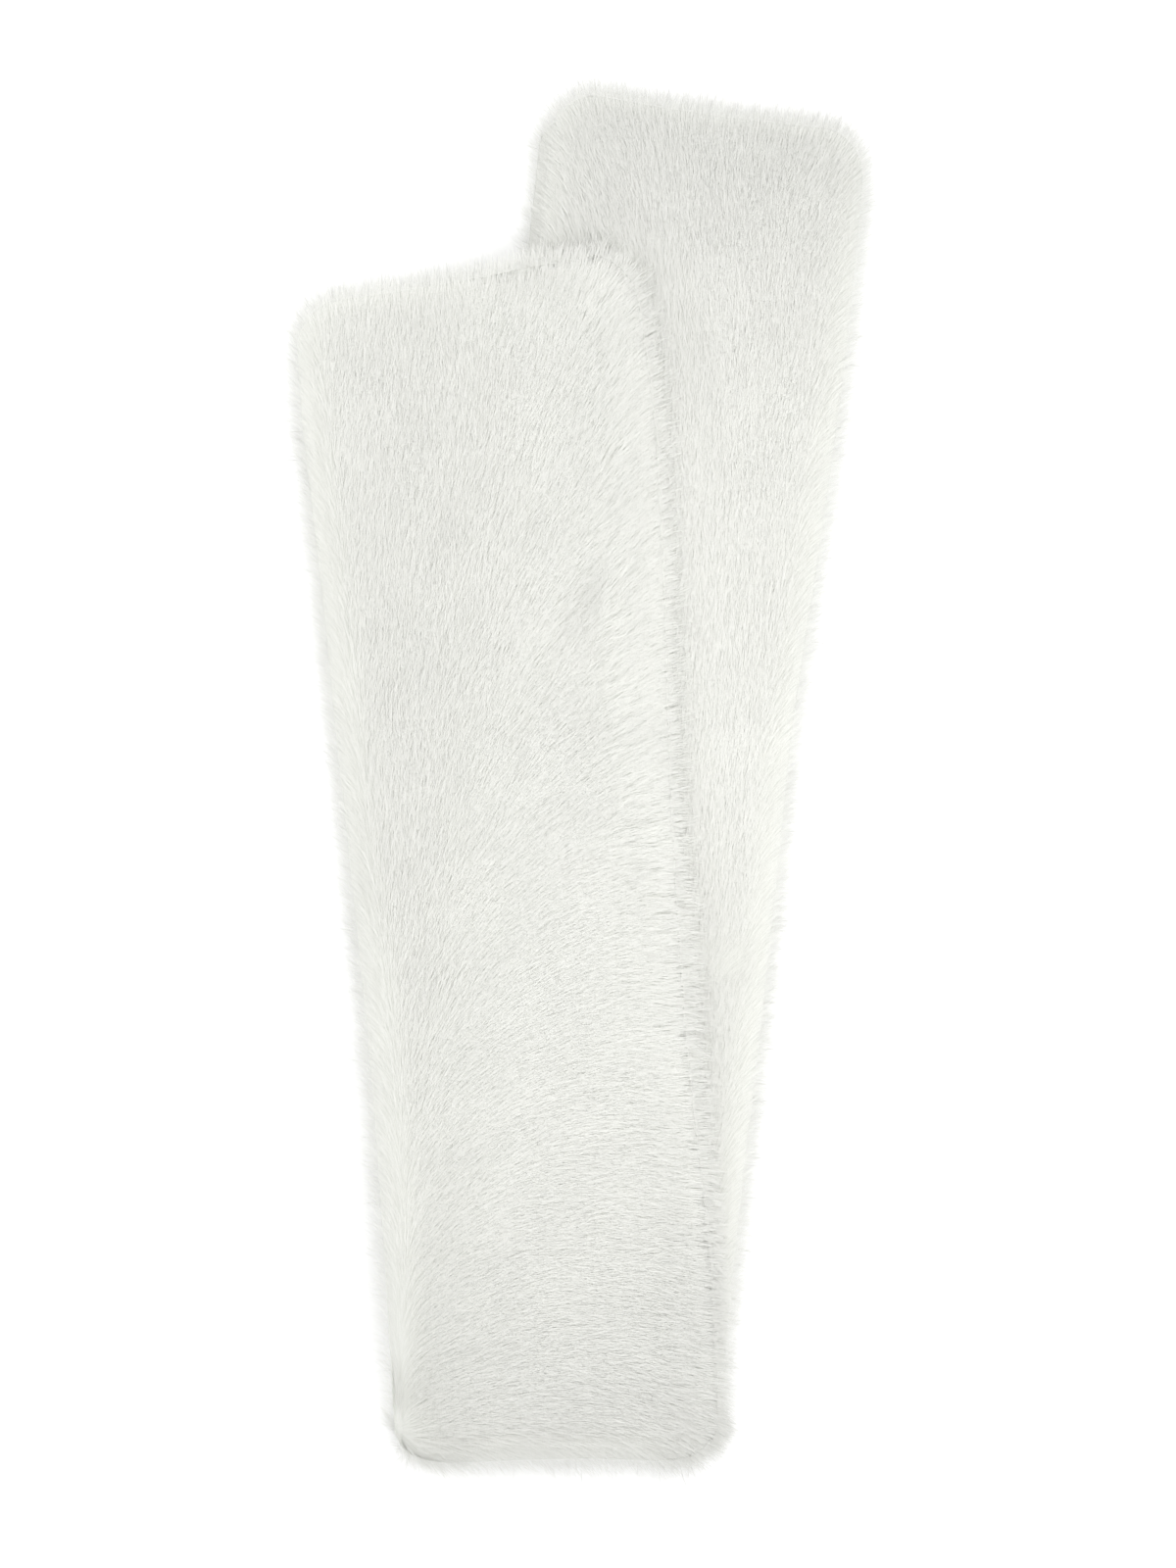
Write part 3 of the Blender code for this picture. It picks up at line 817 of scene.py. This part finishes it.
def hair_turns(tree, drawn, way, normal):
    """How each blade is turned: its length along its way, its flat side to the skin, and rolled
    a little."""
    facing = add_node(
        tree, "FunctionNodeAxesToRotation", {"Primary Axis": way, "Secondary Axis": normal},
        primary_axis="X", secondary_axis="Z",
    )
    roll = add_node(
        tree, "FunctionNodeAxisAngleToRotation", {"Axis": (1.0, 0.0, 0.0), "Angle": drawn["roll"]}
    )
    turned = add_node(
        tree, "FunctionNodeRotateRotation",
        {"Rotation": facing.outputs[0], "Rotate By": roll.outputs[0]}, rotation_space="LOCAL",
    )
    return turned.outputs[0]


def hair_scales(tree, given, pile, drawn):
    """How long and how wide each hair is."""
    by_edge = {
        name: add_node(
            tree, "ShaderNodeMix",
            {"Factor": pile["pile_edge"], 2: on_face, 3: on_edge}, data_type="FLOAT",
        ).outputs[0]
        for name, (on_face, on_edge) in FACE_AND_EDGE.items()
    }
    shorter = chain(
        tree, MATH, drawn["shortness"],
        ("POWER", by_edge["rarity"]), ("MULTIPLY", by_edge["unevenness"]),
    )
    kept = chain(tree, MATH, 1.0, ("SUBTRACT", shorter))
    length = chain(
        tree, MATH, given["Length"], ("MULTIPLY", by_edge["reach"]), ("MULTIPLY", kept)
    )
    breadth = chain(tree, MATH, drawn["breadth"], ("MULTIPLY", by_edge["breadth"]))
    breadth = chain(tree, MATH, length, ("MULTIPLY", breadth))
    return add_node(tree, COMBINE, {"X": length, "Y": breadth, "Z": length}).outputs[0]


def hair_blades(tree, given, place):
    """The blades as instances, one for each bend: widest in the middle, bent to one side and
    arched over. Each is 1 long."""
    shape = add_node(
        tree, "GeometryNodeMeshGrid",
        {"Size X": 1.0, "Size Y": 1.0, "Vertices X": 3, "Vertices Y": 2},
    )
    own_place = add_node(tree, SEPARATE, {0: place}).outputs
    along = chain(tree, MATH, own_place["X"], ("ADD", 0.5))
    left = chain(tree, MATH, 1.0, ("SUBTRACT", along))
    bulge = chain(tree, MATH, along, ("MULTIPLY", left), ("MULTIPLY", 4.0))
    slimness = chain(tree, MATH, given["Width"], ("DIVIDE", given["Length"]))
    across = chain(tree, MATH, own_place["Y"], ("MULTIPLY", bulge), ("MULTIPLY", slimness))
    arch = chain(tree, MATH, bulge, ("MULTIPLY", BLADE_ARCH))
    blank = stored_together(
        tree, shape.outputs["Mesh"], "CORNER", [("hair_map", "FLOAT2", shape.outputs["UV Map"])]
    )
    blank = stored_together(tree, blank, "POINT", [("hair_along", "FLOAT", along)])
    blades = add_node(tree, "GeometryNodeJoinGeometry")
    for bend in BLADE_BENDS:
        sway = chain(tree, MATH, along, ("POWER", 2.0), ("MULTIPLY", bend))
        aside = chain(tree, MATH, across, ("ADD", sway))
        spot = add_node(tree, COMBINE, {"X": along, "Y": aside, "Z": arch}).outputs[0]
        bent = add_node(tree, "GeometryNodeSetPosition", {"Geometry": blank, "Position": spot})
        closed = add_node(
            tree, "GeometryNodeMergeByDistance",
            {"Geometry": bent.outputs[0], "Distance": MERGE_SHARE},
        )
        blade = add_node(tree, "GeometryNodeGeometryToInstance", {0: closed.outputs[0]})
        tree.links.new(blade.outputs[0], blades.inputs[0])
    return blades.outputs[0]


def mapped_hairs(tree, hairs, kept):
    """Gives each hair its own place on the baking map: its square, its strip, and along that."""
    square = add_node(tree, SEPARATE, {0: kept["map_square"]}).outputs
    own_map = add_node(tree, SEPARATE, {0: kept["hair_map"]}).outputs
    u = chain(tree, MATH, own_map[1], ("DIVIDE", MAP_STRIPS * STRIP_SPACING))
    u = chain(tree, MATH, kept["map_strip"], ("ADD", u))
    u = chain(tree, MATH, square[0], ("ADD", u), ("DIVIDE", MAP_SQUARES))
    v = chain(tree, MATH, own_map[0], ("ADD", STRIP_START), ("MULTIPLY", STRIP_LENGTH))
    v = chain(tree, MATH, square[1], ("ADD", v), ("DIVIDE", MAP_SQUARES))
    spot = add_node(tree, COMBINE, {"X": u, "Y": v}).outputs[0]
    return stored_together(tree, hairs, "CORNER", [("OFBake", "FLOAT2", spot)])


def hair_tree(name):
    """The nodes that root a hair at each point of a skin and gather the hairs into locks."""
    tree = bpy.data.node_groups.new(name, "GeometryNodeTree")
    sockets = {
        "Skin": "NodeSocketGeometry",
        "Hairs each square metre": "NodeSocketFloat",
        **dict.fromkeys(SETTING_INPUTS, "NodeSocketFloat"),
        "Seed": "NodeSocketInt",
        "Hair": "NodeSocketMaterial",
    }
    for label, kind in sockets.items():
        tree.interface.new_socket(label, in_out="INPUT", socket_type=kind)
    tree.interface.new_socket("Fur", in_out="OUTPUT", socket_type="NodeSocketGeometry")
    given = add_node(tree, "NodeGroupInput").outputs
    place = add_node(tree, "GeometryNodeInputPosition").outputs[0]
    pile, kept = (
        {
            name: add_node(tree, STORED, {"Name": name}, data_type=kind).outputs["Attribute"]
            for name, kind in names.items()
        }
        for names in (PILE_ATTRIBUTES, HAIR_ATTRIBUTES)
    )
    drawn = {}
    for draw in DRAWS:
        seed = chain(tree, MATH, given["Seed"], ("ADD", SEED_STEP * draw.number))
        drawn[draw.name] = add_node(
            tree, "FunctionNodeRandomValue", {2: draw.low, 3: draw.high, "Seed": seed},
            data_type="FLOAT",
        ).outputs[1]

    # Where each hair lies on the baking map, how pale it is, and which way its skin faces
    roots, normal, lock_place = rooted_hairs(tree, given, pile, place)
    strip = chain(tree, MATH, drawn["strip"], ("FLOOR", None), ("DIVIDE", MAP_STRIPS))
    square = chain(
        tree, VECTOR_MATH, place, ("MULTIPLY", (1 / MAP_WIDTH, 1 / MAP_HEIGHT, 0.0)),
        ("ADD", (0.5, 0.5, 0.0)), ("SCALE", float(MAP_SQUARES)), ("FLOOR", None),
    )
    points = stored_together(tree, roots, "POINT", (
        ("hair_tone", "FLOAT", drawn["tone"]),
        ("map_strip", "FLOAT", strip),
        ("map_square", "FLOAT_VECTOR", square),
        ("skin_normal", "FLOAT_VECTOR", pile["pile_facing"]),
    ))
    way = hair_ways(tree, given, pile, drawn, place, normal, lock_place)
    planted = add_node(
        tree, "GeometryNodeInstanceOnPoints",
        {
            "Points": points,
            "Instance": hair_blades(tree, given, place),
            "Pick Instance": True,
            "Instance Index": chain(tree, MATH, drawn["blade"], ("FLOOR", None)),
            "Rotation": hair_turns(tree, drawn, way, normal),
            "Scale": hair_scales(tree, given, pile, drawn),
        },
    )
    hairs = add_node(tree, "GeometryNodeRealizeInstances", {0: planted.outputs[0]}).outputs[0]

    # No hair goes under the floor, and most of its shading is that of the skin
    now = add_node(tree, SEPARATE, {0: place}).outputs
    height = chain(tree, MATH, now[2], ("MAXIMUM", FLOOR_CLEARANCE))
    above = add_node(tree, COMBINE, {"X": now[0], "Y": now[1], "Z": height}).outputs[0]
    hairs = add_node(
        tree, "GeometryNodeSetPosition", {"Geometry": hairs, "Position": above}
    ).outputs[0]
    hairs = mapped_hairs(tree, hairs, kept)
    own_normal = add_node(tree, "GeometryNodeInputNormal").outputs[0]
    own_part = chain(tree, VECTOR_MATH, own_normal, ("SCALE", 1 - SKIN_SHADING))
    skin_part = chain(tree, VECTOR_MATH, kept["skin_normal"], ("SCALE", SKIN_SHADING))
    shading = chain(tree, VECTOR_MATH, own_part, ("ADD", skin_part), ("NORMALIZE", None))
    hairs = add_node(tree, "GeometryNodeSetShadeSmooth", {"Geometry": hairs}).outputs[0]
    hairs = add_node(
        tree, "GeometryNodeSetMeshNormal", {"Mesh": hairs, "Custom Normal": shading},
        mode="FREE", domain="POINT",
    ).outputs[0]
    for spent in (*HAIR_ATTRIBUTES, *PILE_ATTRIBUTES):
        hairs = add_node(
            tree, "GeometryNodeRemoveAttribute", {"Geometry": hairs, "Name": spent}
        ).outputs[0]
    coated = add_node(
        tree, "GeometryNodeSetMaterial", {"Geometry": hairs, "Material": given["Hair"]}
    )
    add_node(tree, "NodeGroupOutput", {0: coated.outputs[0]})
    return tree


def set_inputs(modifier, values):
    """Sets a Geometry Nodes modifier's inputs by their labels."""
    sockets = {
        item.name: item.identifier
        for item in modifier.node_group.interface.items_tree
        if item.item_type == "SOCKET" and item.in_out == "INPUT"
    }
    for label, value in values.items():
        modifier[sockets[label]] = value


def grow_hair(group, tree, sizes, material):
    """The hairs of one group as a plain mesh."""
    skin = bpy.data.objects[group.skin]
    mesh = skin.data.copy()
    shape = bmesh.new()
    shape.from_mesh(mesh)
    outside = [
        face for face in shape.faces
        if not group.low <= face.calc_center_median().y < group.high
    ]
    bmesh.ops.delete(shape, geom=outside, context="FACES")
    shape.to_mesh(mesh)
    shape.free()
    piece = new_object(group.name, mesh)
    modifier = piece.modifiers.new("Fur", "NODES")
    modifier.node_group = tree
    set_inputs(modifier, {
        **{label: getattr(sizes, setting) for label, setting in SETTING_INPUTS.items()},
        "Hairs each square metre": sizes.hairs_each_cm2 * CM2_EACH_M2,
        "Seed": group.seed,
        "Hair": material,
    })
    return made_plain(piece)


def stored_number(tree, name):
    """A number stored on a mesh, for a material."""
    return add_node(tree, "ShaderNodeAttribute", attribute_name=name).outputs["Fac"]


def blank_material(name, looks):
    """A new material's node tree and its shader, with the looks that are the same all over."""
    material = bpy.data.materials.new(name)
    material.use_nodes = True
    tree = material.node_tree
    tree.nodes.clear()
    shader = add_node(tree, "ShaderNodeBsdfPrincipled", looks)
    add_node(tree, "ShaderNodeOutputMaterial", {"Surface": shader.outputs[0]})
    return material, tree, shader


def hair_material(colours):
    """Bleached fur hair: a smooth keratin fibre, pale at the tip and a little warmer at the root,
    with a soft wide gleam. Single hairs and soft patches differ slightly in tone."""
    material, tree, shader = blank_material("ivory_fur_hair", {
        "Roughness": 0.62, "IOR": 1.55, "Specular IOR Level": 0.25,
        "Sheen Weight": 0.15, "Sheen Roughness": 0.5,
    })
    where = add_node(tree, "ShaderNodeTexCoord").outputs["Object"]
    along, tone, gain = (
        stored_number(tree, name) for name in ("hair_along", "hair_tone", "painted_light_and_shade")
    )
    patches = add_node(
        tree, "ShaderNodeTexNoise", {"Vector": where, "Scale": 1 / PATCH_SPREAD, "Detail": 2.0}
    )
    colour = add_node(
        tree, "ShaderNodeMix",
        {"Factor": along, 6: (*colours.root, 1.0), 7: (*colours.tip, 1.0)},
        data_type="RGBA", blend_type="MIX",
    )
    changes = [
        add_node(
            tree, "ShaderNodeMapRange",
            {
                "Value": value, "From Min": low, "From Max": high,
                "To Min": TONE_RANGE[0], "To Max": TONE_RANGE[1],
            },
        ).outputs[0]
        for value, (low, high) in ((tone, (0.0, 1.0)), (patches.outputs["Fac"], PATCH_VALUES))
    ]
    # The hairs' colour is made whiter or duller by the stored painted light and shade
    change = chain(tree, MATH, changes[0], ("MULTIPLY", changes[1]), ("MULTIPLY", gain))
    final = chain(tree, VECTOR_MATH, colour.outputs[2], ("SCALE", change))
    tree.links.new(final, shader.inputs["Base Color"])
    return material


def pile_material(colours):
    """The depth of the pile, where hairs are pressed together: matt, in fine short streaks that
    are wider than real hairs, so that they show. Its colour is darker than the hairs' partly as
    the pile's own tone and partly as painted shade of the depth between hairs."""
    looks = {"Roughness": 0.9, "Specular IOR Level": 0.15}
    material, tree, shader = blank_material("ivory_fur_pile_with_painted_shade", looks)
    where = add_node(tree, "ShaderNodeTexCoord").outputs["Object"]
    stretched = add_node(
        tree, "ShaderNodeMapping",
        {"Vector": where, "Scale": tuple(1 / size for size in STREAK_SIZE)},
    )
    streaks = add_node(
        tree, "ShaderNodeTexNoise", {"Vector": stretched.outputs[0], "Scale": 1.0, "Detail": 3.0}
    )
    dark = tuple(part * STREAK_SHADE for part in colours.pile)
    mixed = add_node(
        tree, "ShaderNodeMix",
        {"Factor": streaks.outputs["Fac"], 6: (*dark, 1.0), 7: (*colours.pile, 1.0)},
        data_type="RGBA", blend_type="MIX",
    )
    # The stored painted light and shade make the pile whiter or duller
    gain = stored_number(tree, "painted_light_and_shade")
    colour = chain(tree, VECTOR_MATH, mixed.outputs[2], ("SCALE", gain))
    bump = add_node(
        tree, "ShaderNodeBump",
        {
            "Strength": STREAK_STRENGTH, "Distance": STREAK_RELIEF,
            "Height": streaks.outputs["Fac"],
        },
    )
    tree.links.new(colour, shader.inputs["Base Color"])
    tree.links.new(bump.outputs[0], shader.inputs["Normal"])
    return material


def floor_material(colours):
    """A light table: white diffusing acrylic lit from below, so that nothing casts a dark shadow."""
    return blank_material("lit_white_acrylic", {
        "Base Color": (*colours.floor, 1.0), "Roughness": 0.8,
        "Emission Color": (1.0, 1.0, 1.0, 1.0), "Emission Strength": FLOOR_GLOW,
    })[0]


class WRAP_OT_skins(bpy.types.Operator):
    """Make the skins of the outer panel, the inner panel and the hidden layers"""

    bl_idname = "wrap.make_skins"
    bl_label = "Make the skins"

    def execute(self, context):
        sizes, colours = context.scene.wrap_sizes, context.scene.wrap_colours
        material = pile_material(colours)
        made = {skin.name: fine_skin(skin) for skin in SKINS}
        trees = {}
        for name, piece in made.items():
            shape = bmesh.new()
            shape.from_mesh(piece.data)
            trees[name] = BVHTree.FromBMesh(shape)
            shape.free()
        for skin in SKINS:
            layers = [tree for name, tree in trees.items() if name != skin.name]
            lay_pile_on(made[skin.name], skin, trees[skin.name], layers, sizes)
            made[skin.name].data.materials.append(material)
            made[skin.name].data.shade_smooth()
            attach(made[skin.name], BODY)
            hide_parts(skin.node)
        return {"FINISHED"}


class WRAP_OT_hair(bpy.types.Operator):
    """Grow the hairs on the skins"""

    bl_idname = "wrap.grow_hair"
    bl_label = "Grow the hair"

    def execute(self, context):
        sizes, colours = context.scene.wrap_sizes, context.scene.wrap_colours
        material = hair_material(colours)
        tree = hair_tree("Fur in locks")
        grown = {}
        for group in HAIR_GROUPS:
            piece = grow_hair(group, tree, sizes, material)
            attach(piece, BODY)
            grown.setdefault(group.skin, []).append(piece)
        for skin in SKINS:
            piece = bpy.data.objects[skin.name]
            for name in PILE_ATTRIBUTES:
                piece.data.attributes.remove(piece.data.attributes[name])
        return {"FINISHED"}


class WRAP_OT_stage(bpy.types.Operator):
    """Set the floor, the lights and the camera"""

    bl_idname = "wrap.set_stage"
    bl_label = "Set the stage"

    def execute(self, context):
        scene = context.scene
        bpy.ops.mesh.primitive_plane_add(size=FLOOR_SIZE)
        floor = context.object
        floor.name = "floor"
        floor.data.materials.append(floor_material(scene.wrap_colours))

        world = bpy.data.worlds.new("Studio")
        world.use_nodes = True
        room = world.node_tree.nodes["Background"].inputs
        room["Color"].default_value = (1.0, 1.0, 1.0, 1.0)
        room["Strength"].default_value = WORLD_STRENGTH
        scene.world = world

        light = bpy.data.lights.new("Window_light", "AREA")
        light.shape = "DISK"
        light.size = LAMP_SIZE
        light.energy = LAMP_POWER
        lamp = bpy.data.objects.new("Window_light", light)
        scene.collection.objects.link(lamp)
        lamp.location = LAMP_PLACE
        lamp.rotation_euler = (-lamp.location).to_track_quat("-Z", "Y").to_euler()
        lamp.visible_camera = False

        eye = bpy.data.cameras.new("Camera")
        eye.sensor_width = 36.0
        eye.lens = eye.sensor_width * CAMERA_HEIGHT / FIELD_HEIGHT
        eye.clip_end = SIGHT
        camera = bpy.data.objects.new("Camera", eye)
        scene.collection.objects.link(camera)
        camera.location = (*FIELD_CENTRE, CAMERA_HEIGHT)
        scene.camera = camera
        scene.view_settings.view_transform = "Standard"
        scene.view_settings.look = "None"
        return {"FINISHED"}


class WRAP_PT_panel(bpy.types.Panel):
    """The wrap's sizes, colours and steps"""

    bl_idname = "WRAP_PT_panel"
    bl_label = "Fur collar wrap"
    bl_space_type = "VIEW_3D"
    bl_region_type = "UI"
    bl_category = "Fur wrap"

    def draw(self, context):
        layout = self.layout
        for group in (context.scene.wrap_sizes, context.scene.wrap_colours):
            box = layout.box()
            for name in group.__annotations__:
                box.prop(group, name)
        for operator in OPERATORS:
            layout.operator(operator.bl_idname)


OPERATORS = (WRAP_OT_stage, WRAP_OT_skins, WRAP_OT_hair)
CLASSES = (WrapSizes, WrapColours, *OPERATORS, WRAP_PT_panel)


def register():
    """Makes the wrap's settings and steps known to Blender."""
    for kind in CLASSES:
        bpy.utils.register_class(kind)
    bpy.types.Scene.wrap_sizes = bpy.props.PointerProperty(type=WrapSizes)
    bpy.types.Scene.wrap_colours = bpy.props.PointerProperty(type=WrapColours)


def unregister():
    """Takes the wrap's settings and steps away again."""
    del bpy.types.Scene.wrap_colours
    del bpy.types.Scene.wrap_sizes
    for kind in reversed(CLASSES):
        bpy.utils.unregister_class(kind)


def main():
    """Builds the wrap: the stage, the skins and the hair."""
    register()
    bpy.ops.wrap.set_stage()
    bpy.ops.wrap.make_skins()
    bpy.ops.wrap.grow_hair()


if __name__ == "__main__":
    main()
